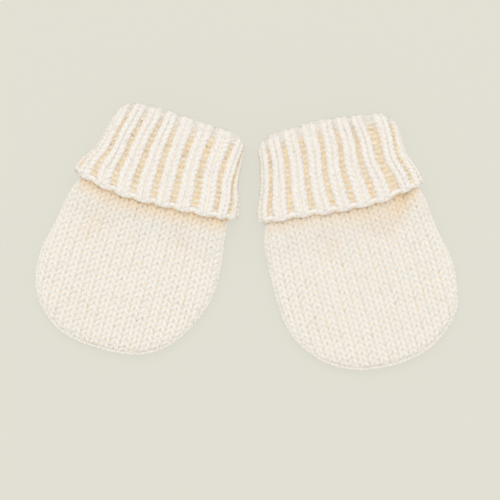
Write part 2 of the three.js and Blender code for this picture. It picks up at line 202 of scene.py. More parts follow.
# Each mitten in its own frame: across from its middle to the right, and along from the cuff's
# fold to the fingertips. fold_at and lean, in degrees, place it. A groove of the ribbing is given
# in turns round the cuff: from 0 at the left over the top to 0.5 at the right, then underneath.
MITTENS = [
    {
        "name": "left",
        "hem_shade": 0.8,
        "fold_at": (-26.795, 46.24),
        "lean": 17.0,
        "ribs": [
            {"rib": 0, "hem": 0.022, "middle": 0.012, "fold": 0.013},
            {"rib": 1, "hem": 0.081, "middle": 0.067, "fold": 0.068},
            {"rib": 2, "hem": 0.142, "middle": 0.118, "fold": 0.122},
            {"rib": 3, "hem": 0.197, "middle": 0.176, "fold": 0.179},
            {"rib": 4, "hem": 0.251, "middle": 0.233, "fold": 0.232},
            {"rib": 5, "hem": 0.301, "middle": 0.292, "fold": 0.295},
            {"rib": 6, "hem": 0.357, "middle": 0.352, "fold": 0.359},
            {"rib": 7, "hem": 0.415, "middle": 0.417, "fold": 0.43},
            {"rib": 8, "hem": 0.45, "middle": 0.464, "fold": 0.485},
            {"rib": 18, "hem": 1.022, "middle": 1.012, "fold": 1.013},
        ],
        "double_groove": None,
        "middle_wale": {"x": -2.6, "drift": 0.026},
        "cuff_sides": [
            {"along": -6, "left": 27.6, "right": 27.2},
            {"along": 0, "left": 28.6, "right": 27.9},
            {"along": 8, "left": 30.4, "right": 28.4},
            {"along": 18, "left": 32.7, "right": 30.1},
            {"along": 23, "left": 35.5, "right": 32.2},
            {"along": 28, "left": 38.2, "right": 33.6},
            {"along": 36, "left": 39.4, "right": 34.0},
        ],
        "cuff_ends": [
            {"across": -1, "fold": 0.0, "hem": 30.9},
            {"across": -0.9, "fold": -3.0, "hem": 32.4},
            {"across": -0.4, "fold": -4.8, "hem": 35.2},
            {"across": 0, "fold": -4.6, "hem": 34.6},
            {"across": 0.5, "fold": -4.1, "hem": 33.3},
            {"across": 0.9, "fold": -3.1, "hem": 31.6},
            {"across": 1, "fold": -0.2, "hem": 30.4},
        ],
        "outline": [
            {"along": 27.15, "left": 34.7, "right": 29.9},
            {"along": 33, "left": 35.3, "right": 29.9},
            {"along": 41, "left": 38.1, "right": 31.0},
            {"along": 53, "left": 39.9, "right": 33.0},
            {"along": 66, "left": 42.2, "right": 32.7},
            {"along": 77, "left": 41.5, "right": 29.2},
            {"along": 86, "left": 38.0, "right": 24.4},
            {"along": 93, "left": 31.2, "right": 17.8},
            {"along": 97.6, "left": 23.4, "right": 9.0},
        ],
        "tip": (-8.5, 99.6),
        "troughs": [
            {"from": (-20, 38), "to": (-26, 62), "depth": 0.5, "width": 5},
            {"from": (12, 37), "to": (14, 55), "depth": 0.4, "width": 4},
        ],
    },
    {
        "name": "right",
        "hem_shade": 0.45,
        "fold_at": (34.105, 45.4),
        "lean": -15.0,
        "ribs": [
            {"rib": 0, "hem": 0.0, "middle": 0.005, "fold": 0.003},
            {"rib": 1, "hem": 0.058, "middle": 0.059, "fold": 0.057},
            {"rib": 2, "hem": 0.118, "middle": 0.114, "fold": 0.11},
            {"rib": 3, "hem": 0.175, "middle": 0.171, "fold": 0.169},
            {"rib": 4, "hem": 0.229, "middle": 0.226, "fold": 0.233},
            {"rib": 5, "hem": 0.28, "middle": 0.28, "fold": 0.286},
            {"rib": 6, "hem": 0.337, "middle": 0.337, "fold": 0.336},
            {"rib": 6.83, "hem": 0.384, "middle": 0.381, "fold": 0.377},
            {"rib": 7.17, "hem": 0.411, "middle": 0.407, "fold": 0.41},
            {"rib": 8, "hem": 0.445, "middle": 0.449, "fold": 0.46},
            {"rib": 18, "hem": 1.0, "middle": 1.005, "fold": 1.003},
        ],
        "double_groove": 7,
        "middle_wale": {"x": -3.0, "drift": 0.01},
        "cuff_sides": [
            {"along": -6, "left": 30.2, "right": 26.6},
            {"along": 0, "left": 31.2, "right": 27.6},
            {"along": 8, "left": 32.2, "right": 29.0},
            {"along": 18, "left": 35.0, "right": 29.4},
            {"along": 23, "left": 37.1, "right": 31.2},
            {"along": 28, "left": 38.8, "right": 32.9},
            {"along": 36, "left": 39.4, "right": 33.9},
        ],
        "cuff_ends": [
            {"across": -1, "fold": -0.4, "hem": 30.2},
            {"across": -0.9, "fold": -3.2, "hem": 31.3},
            {"across": -0.45, "fold": -4.5, "hem": 33.2},
            {"across": -0.1, "fold": -4.6, "hem": 34.9},
            {"across": 0.4, "fold": -2.6, "hem": 35.6},
            {"across": 0.65, "fold": -1.6, "hem": 34.2},
            {"across": 0.9, "fold": -0.4, "hem": 33.3},
            {"across": 1, "fold": 2.5, "hem": 31.6},
        ],
        "outline": [
            {"along": 27.15, "left": 35.2, "right": 29.3},
            {"along": 33, "left": 36.3, "right": 30.3},
            {"along": 41, "left": 38.9, "right": 32.4},
            {"along": 53, "left": 39.6, "right": 33.8},
            {"along": 66, "left": 39.6, "right": 36.3},
            {"along": 78, "left": 38.0, "right": 35.6},
            {"along": 87, "left": 33.6, "right": 33.2},
            {"along": 95, "left": 26.2, "right": 26.0},
            {"along": 100.8, "left": 15.6, "right": 16.4},
        ],
        "tip": (1.0, 103.3),
        "troughs": [
            {"from": (30, 23), "to": (14, 51), "depth": 1.3, "width": 5},
            {"from": (0, 26), "to": (14, 56), "depth": 0.5, "width": 9},
            {"from": (-10, 38), "to": (-13, 58), "depth": 0.4, "width": 5},
        ],
    },
]


# Smooth values and places

def smoothstep(value, low, high):
    share = np.clip((value - low) / (high - low), 0, 1)
    return share * share * (3 - 2 * share)


def smooth_curve(t, start, end, leaving, arriving):
    """Curve from start to end, with its slopes there, at t from 0 to 1."""
    from_start = 2 * t**3 - 3 * t**2 + 1
    bends = (t**3 - 2 * t**2 + t) * leaving + (t**3 - t**2) * arriving
    return from_start * start + (1 - from_start) * end + bends


def look_up(rows, key, column, at):
    """Smooth value of one column of a table between its rows."""
    at = np.asarray(at, float)
    keys = np.array([row[key] for row in rows], float)
    values = np.array([row[column] for row in rows], float)
    slopes = np.empty_like(values)
    slopes[1:-1] = (values[2:] - values[:-2]) / (keys[2:] - keys[:-2])
    slopes[0] = (values[1] - values[0]) / (keys[1] - keys[0])
    slopes[-1] = (values[-1] - values[-2]) / (keys[-1] - keys[-2])
    i = np.clip(np.searchsorted(keys, at) - 1, 0, len(keys) - 2)
    span = keys[i + 1] - keys[i]
    t = np.clip((at - keys[i]) / span, 0, 1)
    return smooth_curve(t, values[i], values[i + 1], span * slopes[i], span * slopes[i + 1])


def unit(vectors):
    return vectors / (np.linalg.norm(vectors, axis=-1, keepdims=True) + TINY)


def in_frame(mitten, x, along, z):
    """Points of a mitten's own frame, as points of the shared frame."""
    lean = math.radians(mitten["lean"])
    x0, y0 = mitten["fold_at"]
    return np.stack(
        [
            x0 + x * math.cos(lean) - along * math.sin(lean),
            y0 - x * math.sin(lean) - along * math.cos(lean),
            z + 0 * x,
        ],
        axis=-1,
    )


# Form of the cuff

def cuff_section(mitten, turn, along, depth):
    """Place across and height of a point of the flattened cuff, and how far up it is, -1 to 1."""
    left = look_up(mitten["cuff_sides"], "along", "left", along) - CUFF_EDGE
    right = look_up(mitten["cuff_sides"], "along", "right", along) - CUFF_EDGE
    quarter = math.pi / 2 * math.hypot(CUFF_EDGE, CUFF_HALF_HEIGHT) / math.sqrt(2)
    half = 2 * quarter + left + right
    turn = np.mod(turn, 1.0)
    walked = half * np.where(turn >= 0.5, 2 - 2 * turn, 2 * turn)
    side = np.where(turn >= 0.5, -1.0, 1.0)
    wide = CUFF_EDGE - depth
    high = CUFF_HALF_HEIGHT - depth
    at_left = math.pi / 2 * np.clip(walked / quarter, 0, 1)
    at_right = math.pi / 2 * np.clip((half - walked) / quarter, 0, 1)
    up = side * np.sin(at_left) * np.sin(at_right)
    flat = np.clip(walked, quarter, half - quarter) - quarter - left
    x = flat - wide * np.cos(at_left) + wide * np.cos(at_right)
    return x, CUFF_HALF_HEIGHT + high * up, up


def cuff_end(mitten, end, x):
    """Place along the mitten of the cuff's fold or hem, across from its middle."""
    left = look_up(mitten["cuff_sides"], "along", "left", CUFF_JOIN_ALONG)
    right = look_up(mitten["cuff_sides"], "along", "right", CUFF_JOIN_ALONG)
    across = np.clip(x / np.where(x < 0, left, right), -1, 1)
    return look_up(mitten["cuff_ends"], "across", end, across)


def cuff_cloth(mitten, turn, row, depth):
    """Point of the cuff's cloth: row counts up from the hem, over the fold and down inside."""
    across, _, _ = cuff_section(mitten, turn, CUFF_JOIN_ALONG, 0.0)
    fold, hem = cuff_end(mitten, "fold", across), cuff_end(mitten, "hem", across)
    radius = CUFF_DEPTH / 2
    outer = hem - (hem - fold - radius) * np.clip(row / CUFF_ROWS, -1, 1)
    angle = math.pi * np.clip((row - CUFF_ROWS) / FOLD_ROWS, 0, 1)
    inner = fold + radius + np.maximum(row - CUFF_ROWS - FOLD_ROWS, 0) * ROW
    along = np.where(row > CUFF_ROWS + FOLD_ROWS, inner, outer)
    along = along - (radius - depth) * np.sin(angle)
    inward = radius - (radius - depth) * np.cos(angle)
    x, z, _ = cuff_section(mitten, turn, along, inward)
    return in_frame(mitten, x, along, z)


def rib_turn(mitten, rib, row):
    """Turn of a place in the ribbing. rib counts grooves from the left edge."""
    within = np.mod(rib, RIBS_AROUND)
    height = np.clip(row / CUFF_ROWS, 0, 1)
    hem, middle, fold = (
        look_up(mitten["ribs"], "rib", column, within) for column in ("hem", "middle", "fold")
    )
    t = np.where(height < 0.5, 2 * height, 2 * height - 1)
    across = (fold - hem) / 2
    lower = smooth_curve(t, hem, middle, middle - hem, across)
    upper = smooth_curve(t, middle, fold, across, fold - middle)
    return np.where(height < 0.5, lower, upper) + np.floor(rib / RIBS_AROUND)


# Form of the hand

def outline_samples(mitten):
    """Places and inward directions along the hand's edge, from its left end round the fingertips."""
    rows = mitten["outline"]
    points = [(-row["left"], row["along"]) for row in rows]
    points += [mitten["tip"]]
    points += [(row["right"], row["along"]) for row in reversed(rows)]
    points = np.array(points, float)
    points = np.vstack([2 * points[0] - points[1], points, 2 * points[-1] - points[-2]])
    t = np.linspace(0, 1, CURVE_STEPS, endpoint=False)[:, None]
    curve = []
    for a, b, c, d in zip(points[:-3], points[1:-2], points[2:-1], points[3:]):
        gaps = [math.sqrt(math.dist(p, q)) for p, q in ((a, b), (b, c), (c, d))]
        leaving = (b - a) / gaps[0] - (c - a) / (gaps[0] + gaps[1]) + (c - b) / gaps[1]
        arriving = (c - b) / gaps[1] - (d - b) / (gaps[1] + gaps[2]) + (d - c) / gaps[2]
        curve.append(smooth_curve(t, b, c, leaving * gaps[1], arriving * gaps[1]))
    curve = np.vstack([*curve, points[-2]])
    lengths = np.r_[0, np.cumsum(np.hypot(*np.diff(curve, axis=0).T))]
    wanted = np.linspace(0, lengths[-1], OUTLINE_STEPS + 1)
    places = np.stack([np.interp(wanted, lengths, curve[:, k]) for k in (0, 1)], axis=-1)
    tangents = np.gradient(places, axis=0)
    tangents /= np.linalg.norm(tangents, axis=1, keepdims=True)
    inward = np.stack([tangents[:, 1], -tangents[:, 0]], axis=-1)
    return {"at": places, "inward": inward, "lengths": wanted}


def trough_depth(mitten, x, along):
    """Depth of the soft creases in the front of the hand."""
    depth = np.zeros_like(x)
    for trough in mitten["troughs"]:
        (x0, along0), (x1, along1) = trough["from"], trough["to"]
        share = np.clip((along - along0) / (along1 - along0), 0, 1)
        aside = (x - x0 - (x1 - x0) * share) / trough["width"]
        depth += trough["depth"] * np.sin(math.pi * share) ** 2 * np.exp(-aside * aside)
    return depth


def hand_form(along):
    """Middle height, half height and width of the rounded edge of the hand, and its share of drop."""
    dropped = smoothstep(along, *DROP)
    middle = CUFF_HALF_HEIGHT + (BODY_HALF_HEIGHT - CUFF_HALF_HEIGHT) * dropped
    high = UNDER_CUFF_HALF_HEIGHT + (BODY_HALF_HEIGHT - UNDER_CUFF_HALF_HEIGHT) * dropped
    reach = UNDER_CUFF_EDGE + (BODY_EDGE - UNDER_CUFF_EDGE) * dropped
    return middle, high, reach, dropped


def edge_walk(high, reach):
    """Length of cloth from the seam over the rounded edge of the hand."""
    return math.pi / 2 * np.hypot(reach, high - SEAM_GAP / 2) / math.sqrt(2)


def hand_edge(samples, x, along):
    """Where points lie against the hand's edge.

    Gives the direction inward from the nearest place on the edge, how far inside it each point lies
    and how much cloth lies between the point and the seam.
    """
    shape = np.shape(x)
    points = np.stack([np.ravel(x), np.ravel(along)], axis=-1)
    apart = ((points[:, None, :] - samples["at"][None, :, :]) ** 2).sum(axis=2)
    nearest = apart.argmin(axis=1)
    inward = samples["inward"][nearest]
    inside = ((points - samples["at"][nearest]) * inward).sum(axis=1)
    inward, inside = inward.reshape(*shape, 2), inside.reshape(shape)
    _, high, reach, _ = hand_form(along)
    return inward, inside, inside + edge_walk(high, reach) - reach


def hand_cloth(mitten, edge, side, x, along, depth):
    """Point at a depth in a hand panel, for a place on the cloth laid out flat."""
    inward, inside, from_seam = edge
    middle, high, reach, dropped = hand_form(along)
    walk = edge_walk(high, reach)
    angle = math.pi / 2 * np.clip(from_seam / walk, 0, 1)
    distance = np.where(from_seam < walk, reach - (reach - depth) * np.cos(angle), inside)
    shift = (distance - inside)[..., None] * inward
    rise = (high - SEAM_GAP / 2 - depth) * np.sin(angle)
    if side > 0:
        short = 1 - np.clip(inside / FULLNESS_REACH, 0, 1)
        rise = rise + FULLNESS * dropped * np.sqrt(1 - short * short)
        rise = rise - trough_depth(mitten, x, along) * np.sin(angle)
    z = middle + side * (SEAM_GAP / 2 + rise)
    return in_frame(mitten, x + shift[..., 0], along + shift[..., 1], z)


def fold_shade(mitten, side, x, along):
    """Painted shade on a hand panel, from 0 to 1: on the front, under the hem and in the creases."""
    if side < 0:
        return 0 * x
    past_hem = along - cuff_end(mitten, "hem", x)
    under_hem = 1 - smoothstep(past_hem, *HEM_SHADE_STRETCH)
    shade = mitten["hem_shade"] * under_hem + TROUGH_SHADE * trough_depth(mitten, x, along)
    return np.clip(shade, 0, 1)


# Meshes

def mesh_object(name, vertices, faces, yarn, material):
    """A smooth mesh from points in millimetres and faces of three or four corners.

    yarn holds, for each point, its place round the yarn as cosine and sine, how far along the yarn it
    lies, how deep in the cloth it looks, which sets its painted warm shade, and how much painted
    shade it has. Materials read it as attributes.
    """
    corners = faces.shape[1]
    mesh = bpy.data.meshes.new(name)
    mesh.vertices.add(len(vertices))
    mesh.vertices.foreach_set("co", (vertices * MM).astype(np.float32).ravel())
    mesh.loops.add(faces.size)
    mesh.loops.foreach_set("vertex_index", faces.astype(np.int32).ravel())
    mesh.polygons.add(len(faces))
    mesh.polygons.foreach_set("loop_start", np.arange(0, faces.size, corners, dtype=np.int32))
    mesh.polygons.foreach_set("use_smooth", np.ones(len(faces), dtype=bool))
    mesh.update(calc_edges=True)
    yarn = yarn.astype(np.float32)
    place = mesh.attributes.new("yarn_place", "FLOAT_VECTOR", "POINT")
    place.data.foreach_set("vector", yarn[:, :3].ravel())
    for column, attribute in ((3, "depth_shade"), (4, "fold_shade")):
        values = mesh.attributes.new(attribute, "FLOAT", "POINT")
        values.data.foreach_set("value", np.ascontiguousarray(yarn[:, column]))
    mesh.materials.append(material)
    piece = bpy.data.objects.new(name, mesh)
    bpy.context.scene.collection.objects.link(piece)
    return piece


def tube_faces(count, sides, closed):
    """Faces of a tube of rings of points, with flat ends where it isn't closed.

    Where sides is odd, a small triangle of each end stays open.
    """
    i = np.arange(count if closed else count - 1)[:, None]
    j = np.arange(sides)[None, :]
    onward = (i + 1) % count
    beside = (j + 1) % sides
    corners = [i * sides + j, onward * sides + j, onward * sides + beside, i * sides + beside]
    quads = np.stack(corners, axis=-1).reshape(-1, 4)
    if closed:
        return quads
    k = np.arange(sides // 2 - 1)
    cap = np.stack([k, k + 1, sides - 2 - k, sides - 1 - k], axis=-1)
    return np.vstack([quads, cap, (count - 1) * sides + cap[:, ::-1]])


def tube(path, inner_path, depth, shade, radius, sides, closed):
    """Points, faces and yarn places of round yarn along a path.

    inner_path lies deeper in the cloth, and depth is how deep the path itself looks, which sets its
    painted warm shade; shade is its painted shade.
    """
    count = len(path)
    if closed:
        tangent = np.roll(path, -1, axis=0) - np.roll(path, 1, axis=0)
    else:
        tangent = np.gradient(path, axis=0)
    aside = unit(np.cross(tangent, path - inner_path))
    up = unit(np.cross(aside, tangent))
    angle = 2 * math.pi * np.arange(sides) / sides
    spokes = np.cos(angle)[:, None] * aside[:, None] + np.sin(angle)[:, None] * up[:, None]
    vertices = (path[:, None] + np.reshape(radius, (-1, 1, 1)) * spokes).reshape(-1, 3)
    walked = np.r_[0, np.cumsum(np.linalg.norm(np.diff(path, axis=0), axis=1))]
    yarn = np.empty((count, sides, 5))
    yarn[..., 0] = np.cos(angle)
    yarn[..., 1] = np.sin(angle)
    yarn[..., 2] = walked[:, None]
    # The top of the yarn looks shallower and its underside deeper, for less and more painted warm
    # shade.
    yarn[..., 3] = depth[:, None] - np.reshape(radius, (-1, 1)) * np.sin(angle)
    yarn[..., 4] = np.reshape(shade, (-1, 1))
    return vertices, tube_faces(count, sides, closed), yarn.reshape(-1, 5)


def join(parts):
    """One set of points, faces and yarn places from several."""
    vertices, faces, yarns = zip(*parts)
    starts = np.cumsum([0, *map(len, vertices[:-1])])
    faces = [part + start for part, start in zip(faces, starts)]
    return np.vstack(vertices), np.vstack(faces), np.vstack(yarns)


def strip(near, far):
    """Faces between two lines of points."""
    return np.stack([near[:-1], far[:-1], far[1:], near[1:]], axis=-1).reshape(-1, 4)


def shell(outer, inner, depth, shade, closed, flip):
    """Closed shell between two grids of points. closed joins the last column to the first."""
    rows, columns = outer.shape[:2]
    front = np.arange(rows * columns).reshape(rows, columns)
    if closed:
        front = np.hstack([front, front[:, :1]])
    back = front + rows * columns
    faces = [strip(front[i], front[i + 1]) for i in range(rows - 1)]
    faces += [strip(back[i + 1], back[i]) for i in range(rows - 1)]
    faces += [strip(front[-1], back[-1]), strip(back[0], front[0])]
    if not closed:
        faces += [strip(front[:, 0], back[:, 0]), strip(back[:, -1], front[:, -1])]
    quads = np.vstack(faces)
    yarn = np.zeros((2 * rows * columns, 5))
    yarn[:, 3] = np.tile(np.ravel(depth), 2)
    yarn[:, 4] = np.tile(np.ravel(shade), 2)
    vertices = np.vstack([outer.reshape(-1, 3), inner.reshape(-1, 3)])
    return vertices, quads[:, ::-1] if flip else quads, yarn


def spikes(root, bend, tip, lean, out):
    """Closed thin spikes of three sides, each from its root over its bend to its tip."""
    aside = unit(np.cross(lean, out))
    upward = np.cross(lean, aside)
    angle = 2 * math.pi * np.arange(3) / 3
    corners = [FIBRE_RADIUS * (math.cos(a) * aside + math.sin(a) * upward) for a in angle]
    rings = [place + corner for place in (root, bend) for corner in corners]
    points = np.stack([*rings, tip], axis=1)
    faces = [(0, 2, 1)]
    for j in range(3):
        beside = (j + 1) % 3
        faces += [(j, beside, 3 + j), (beside, 3 + beside, 3 + j), (3 + j, 3 + beside, 6)]
    return points, np.array(faces)


def fuzz(shape, sides, count, random):
    """Loose fibres that stand out from the outer side of yarn, above the floor."""
    vertices, _, yarn = shape
    middles = vertices.reshape(-1, sides, 3).mean(axis=1)
    onward = np.roll(middles, -1, axis=0) - middles
    chosen = random.choice(np.flatnonzero(yarn[:, 1] > FIBRES_ABOVE), count)
    root = vertices[chosen]
    out = unit(root - middles[chosen // sides])
    lean = unit(onward[chosen // sides]) + random.normal(0, FIBRE_STRAY, (count, 3))
    lean = unit(lean * random.choice([-1, 1], (count, 1)) + FIBRE_LIFT * out)
    length = random.uniform(*FIBRE_LENGTH, (count, 1))
    bend = root + lean * length / 2
    tip = bend + unit(lean + random.normal(0, FIBRE_STRAY, (count, 3))) * length / 2
    points, spike = spikes(root, bend, tip, lean, out)
    points = points[points[:, :, 2].min(axis=1) > 0]
    kept, corners = points.shape[:2]
    faces = (corners * np.arange(kept)[:, None, None] + spike).reshape(-1, 3)
    return points.reshape(-1, 3), faces, np.zeros((kept * corners, 5))


def uneven_yarn(random, count):
    """Thickness of yarn along its length, as a share."""
    return 1 + UNEVEN_YARN * random.normal(0, 1, count)


# Yarn of the hand

def middle_wale(mitten, along):
    """Place across of the middle column of stitches."""
    wale = mitten["middle_wale"]
    return wale["x"] + wale["drift"] * (along - WALE_WIDENS[0])


def wale_width(along):
    """Width of a column of stitches."""
    return WALE_AT_CUFF + (WALE_AT_HAND - WALE_AT_CUFF) * smoothstep(along, *WALE_WIDENS)


def hand_row(mitten, at, phase, wale, uneven):
    """Places across and along the hand, and depths, of one row of stocking stitch."""
    further, aside, deeper = (share * part for share, part in zip(UNEVEN_LOOP, uneven))
    grow = 0.5 + 0.5 * np.cos(phase)
    along = at + (LOOP_HALF_HEIGHT + further) * np.cos(phase)
    across = middle_wale(mitten, along) + (wale + phase / (2 * math.pi)) * wale_width(along)
    across = across + LOOP_SWING * np.sin(2 * phase) + aside * grow
    depth = YARN + LOOP_DEPTH * (1 + np.cos(2 * phase)) + SHINGLE * np.cos(phase)
    return across, along, np.maximum(depth + deeper * grow, YARN)


def tucked(depth, edge, phase):
    """Depths of a row with the cloth tucked in at the seam and opened round the fingertips."""
    inward, _, from_seam = edge
    at_seam = np.clip(1 - from_seam / EDGE_TUCK["reach"], 0, 1)
    near_tip = smoothstep(-inward[:, 1], *TIP_GAP["facing"])
    near_seam = 1 - smoothstep(from_seam, *TIP_GAP["reach"])
    opened = near_tip * near_seam * (0.5 - 0.5 * np.cos(phase))
    return depth + EDGE_TUCK["depth"] * at_seam**2 + TIP_GAP["depth"] * opened


def runs(kept):
    """Slices of the points that are kept, leaving out the shortest."""
    ends = np.flatnonzero(np.diff(np.r_[0, kept.astype(int), 0]))
    return [slice(a, b) for a, b in zip(ends[::2], ends[1::2]) if b - a >= SHORTEST_RUN]


def hand_knit(mitten, samples, side, detail, random):
    """All rows of stocking stitch on one panel of the hand."""
    loop = np.linspace(-math.pi, math.pi, detail["points"], endpoint=False)
    phase = np.tile(loop, WALES)
    wale = np.repeat(np.arange(WALES) - WALES // 2, detail["points"])
    thick = YARN * (1 - THIN_BENDS * np.cos(phase) ** 2)
    last = mitten["tip"][1] + LOOP_HALF_HEIGHT
    parts = []
    for at in np.arange(FIRST_ROW, last, ROW):
        uneven = np.repeat(random.normal(0, 1, (3, WALES)), detail["points"], axis=1)
        across, along, depth = hand_row(mitten, at, phase, wale, uneven)
        edge = hand_edge(samples, across, along)
        depth = tucked(depth, edge, phase)
        path = hand_cloth(mitten, edge, side, across, along, depth)
        inner = hand_cloth(mitten, edge, side, across, along, depth + INNER_STEP)
        shade = fold_shade(mitten, side, across, along)
        for run in runs(edge[2] > 0):
            radius = thick[run] * uneven_yarn(random, run.stop - run.start)
            yarn = (path[run], inner[run], depth[run], shade[run], radius)
            parts.append(tube(*yarn, detail["sides"], False))
    return join(parts)


def seam_cord(mitten, samples, side, random):
    """Twisted cord that finishes a panel's edge, beside the seam."""
    cord = SEAM_CORD
    places, inward = samples["at"], samples["inward"]
    _, high, reach, _ = hand_form(places[:, 1])
    inside = cord["from_seam"] - edge_walk(high, reach) + reach
    x, along = (places + inward * inside[:, None]).T
    twist = 2 * math.pi * samples["lengths"] / cord["turn"]
    strands = []
    for strand in (0, 1):
        turned = twist + strand * math.pi
        depth = cord["depth"] + cord["swing"] * np.sin(turned)
        shift = cord["swing"] * np.cos(turned)
        edge = (inward, inside + shift, cord["from_seam"] + shift)
        path = hand_cloth(mitten, edge, side, x, along, depth)
        inner = hand_cloth(mitten, edge, side, x, along, depth + INNER_STEP)
        radius = cord["radius"] * uneven_yarn(random, len(x))
        look = depth - SEAM_CORD_PALER
        strands.append(tube(path, inner, look, 0, radius, SEAM_CORD_SIDES, False))
    return join(strands)


# Yarn of the cuff

def rib_groove(mitten, rib, row):
    """How far a place lies in a groove, from 0 to 1: also 0 underneath, where the ribs fade."""
    _, _, up = cuff_section(mitten, rib_turn(mitten, rib, row), CUFF_JOIN_ALONG, 0.0)
    nearest = np.round(rib)
    wider = DOUBLE_WIDER * (nearest == mitten["double_groove"])
    groove = 1 - smoothstep(np.abs(rib - nearest) - wider, *GROOVE_EDGE)
    return groove * smoothstep(up, *RIB_FADE)


def cuff_warm_shade(mitten, rib, row):
    """How much deeper than it lies the yarn of the cuff looks on the ribs, grooves and sides, for its
    painted warm shade.
    """
    _, _, up = cuff_section(mitten, rib_turn(mitten, rib, row), CUFF_JOIN_ALONG, 0.0)
    warmth = WARM_SHADE["rib"] + (WARM_SHADE["groove"] - WARM_SHADE["rib"]) * rib_groove(mitten, rib, row)
    return warmth + WARM_SHADE["side"] * (1 - smoothstep(np.abs(up), *SIDE_FADE))


def over_fold(row, left):
    """Share of a relief at a row: all of it on the cuff, left where it stretches over the fold."""
    return 1 - (1 - left) * smoothstep(row, OVER_FOLD["from"], OVER_FOLD["to"])


def hem_row(rib):
    """Row at which the yarn turns at the hem: lower on each rib than in the grooves."""
    return CAST_ON["row"] + CAST_ON["scallop"] * np.cos(2 * math.pi * rib)


def rib_stitch(kind, t):
    """How far forward a rib loop's yarn stands, from -1 to 1, and how thick it is."""
    if kind == "knit":
        return -np.cos(2 * t), RIB_YARN * (1 - THIN_BENDS * np.cos(t) ** 2)
    return np.where(np.abs(t) < math.pi / 2, np.cos(2 * t), -1), np.full_like(t, PURL_YARN)


def rib_stitches(mitten, rib):
    """Kind, middle and width of the stitches of one groove and the rib beside it."""
    purl = 1 - KNIT_SHARE
    groove = [("purl", rib, purl)]
    if rib == mitten["double_groove"]:
        half = purl / 2 + DOUBLE_WIDER
        groove = [("purl", rib - half / 2, half), ("purl", rib + half / 2, half)]
    return [*groove, ("knit", rib + 0.5, KNIT_SHARE)]


def rib_path(mitten):
    """Rib, place in the loop, how far forward and how thick the yarn is for one row of the cuff."""
    steps = []
    for rib in range(RIBS_AROUND):
        above = rib_turn(mitten, rib, CUFF_ROWS / 2) < 0.5 or rib == RIBS_AROUND - 1
        count = CUFF_DETAIL["above" if above else "below"]
        t = np.linspace(-math.pi, math.pi, count, endpoint=False)
        for kind, middle, share in rib_stitches(mitten, rib):
            place = middle + share * t / (2 * math.pi) + RIB_SWING[kind] * np.sin(2 * t)
            steps.append(np.stack([place, t, *rib_stitch(kind, t)], axis=-1))
    return np.vstack(steps)


def cuff_knit(mitten, random):
    """All rows of single rib, from the hem over the fold to a little way inside."""
    rib, t, forward, thick = rib_path(mitten).T
    stitch = np.cumsum(np.r_[0, np.diff(t) < 0]).astype(int)
    grow = 0.5 + 0.5 * np.cos(t)
    parts = []
    for row in range(CUFF_ROWS + FOLD_ROWS + INNER_ROWS):
        uneven = random.normal(0, 1, (3, stitch.max() + 1))[:, stitch]
        higher, deeper, aside = (share * part * grow for share, part in zip(UNEVEN_RIB, uneven))
        height = row + 0.5 + (RIB_LOOP + higher) * np.cos(t)
        height = height + HEM_SQUASH * np.maximum(hem_row(rib) - height, 0)
        turn = rib_turn(mitten, rib + aside, height)
        raised = RIB_LOOP_DEPTH * (1 - forward) + RIB_SHINGLE * np.cos(t) + deeper
        groove = RIB_SINK * rib_groove(mitten, rib, height) * over_fold(height, OVER_FOLD["grooves"])
        depth = RIB_YARN + groove + raised * over_fold(height, OVER_FOLD["loops"])
        depth = np.maximum(depth, RIB_YARN)
        path = cuff_cloth(mitten, turn, height, depth)
        inner = cuff_cloth(mitten, turn, height, depth + INNER_STEP)
        radius = thick * uneven_yarn(random, len(path))
        look = depth + cuff_warm_shade(mitten, rib, height)
        parts.append(tube(path, inner, look, 0, radius, CUFF_DETAIL["sides"], True))
    return join(parts)


def cast_on(mitten, random):
    """The edge at the hem: two strands twisted round each other, rounded at each rib's end."""
    count = RIBS_AROUND * CAST_ON_POINTS
    rib = np.arange(count) / count * RIBS_AROUND
    full = CAST_ON["depth"] - CAST_ON["fuller"] * rib_groove(mitten, rib, 0 * rib)
    beads = 1 + CAST_ON["beads"] * np.cos(4 * math.pi * rib)
    strands = []
    for strand in (0, 1):
        twist = 2 * math.pi * rib + strand * math.pi
        height = hem_row(rib) + CAST_ON_SWING["row"] * np.cos(twist)
        height = height - CAST_ON_SECOND["lower"] * strand
        depth = full + CAST_ON_SWING["depth"] * np.sin(twist) + CAST_ON_SECOND["deeper"] * strand
        turn = rib_turn(mitten, rib, height)
        path = cuff_cloth(mitten, turn, height, depth)
        inner = cuff_cloth(mitten, turn, height, depth + INNER_STEP)
        radius = CAST_ON["radius"] * beads * uneven_yarn(random, count)
        look = depth - CAST_ON_PALER + CAST_ON_SECOND["warmer"] * strand
        shade = CAST_ON_SECOND["shade"] * strand
        strands.append(tube(path, inner, look, shade, radius, CAST_ON_SIDES, True))
    return join(strands)


# Backing cloth

